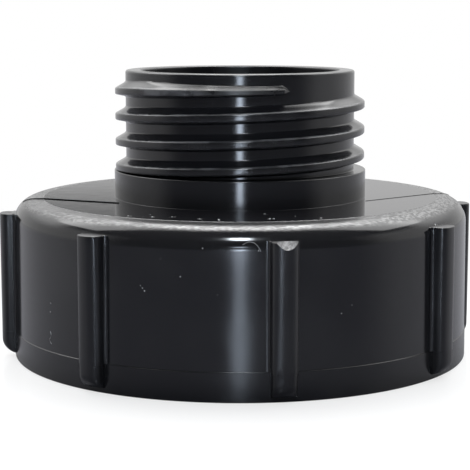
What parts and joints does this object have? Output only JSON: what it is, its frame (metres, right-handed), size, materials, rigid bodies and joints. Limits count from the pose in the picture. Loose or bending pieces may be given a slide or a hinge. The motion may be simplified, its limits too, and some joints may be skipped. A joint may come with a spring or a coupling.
{
  "type": "ibc tap adapter",
  "caption": "Black plastic reducing adapter for a tank outlet valve: ribbed cap with an inside thread and seal ring, flat shoulder, collar and narrow neck with an outside thread, open bore.",
  "frame": {"origin": "on the adapter's axis, in the plane of the cap's open rim that it stands on", "axes": "+Z along the axis from the cap up through the neck, -Y to the front, where the broken grip rib is"},
  "size_m": [0.1138, 0.1138, 0.0677],
  "materials": {
    "black_plastic": "glossy black, moulded, lightly scuffed",
    "seal_rubber": "matt black rubber"
  },
  "bodies": {
    "root": {"adapter_body": "black_plastic", "seal_ring": "seal_rubber"}
  },
  "joints": []
}
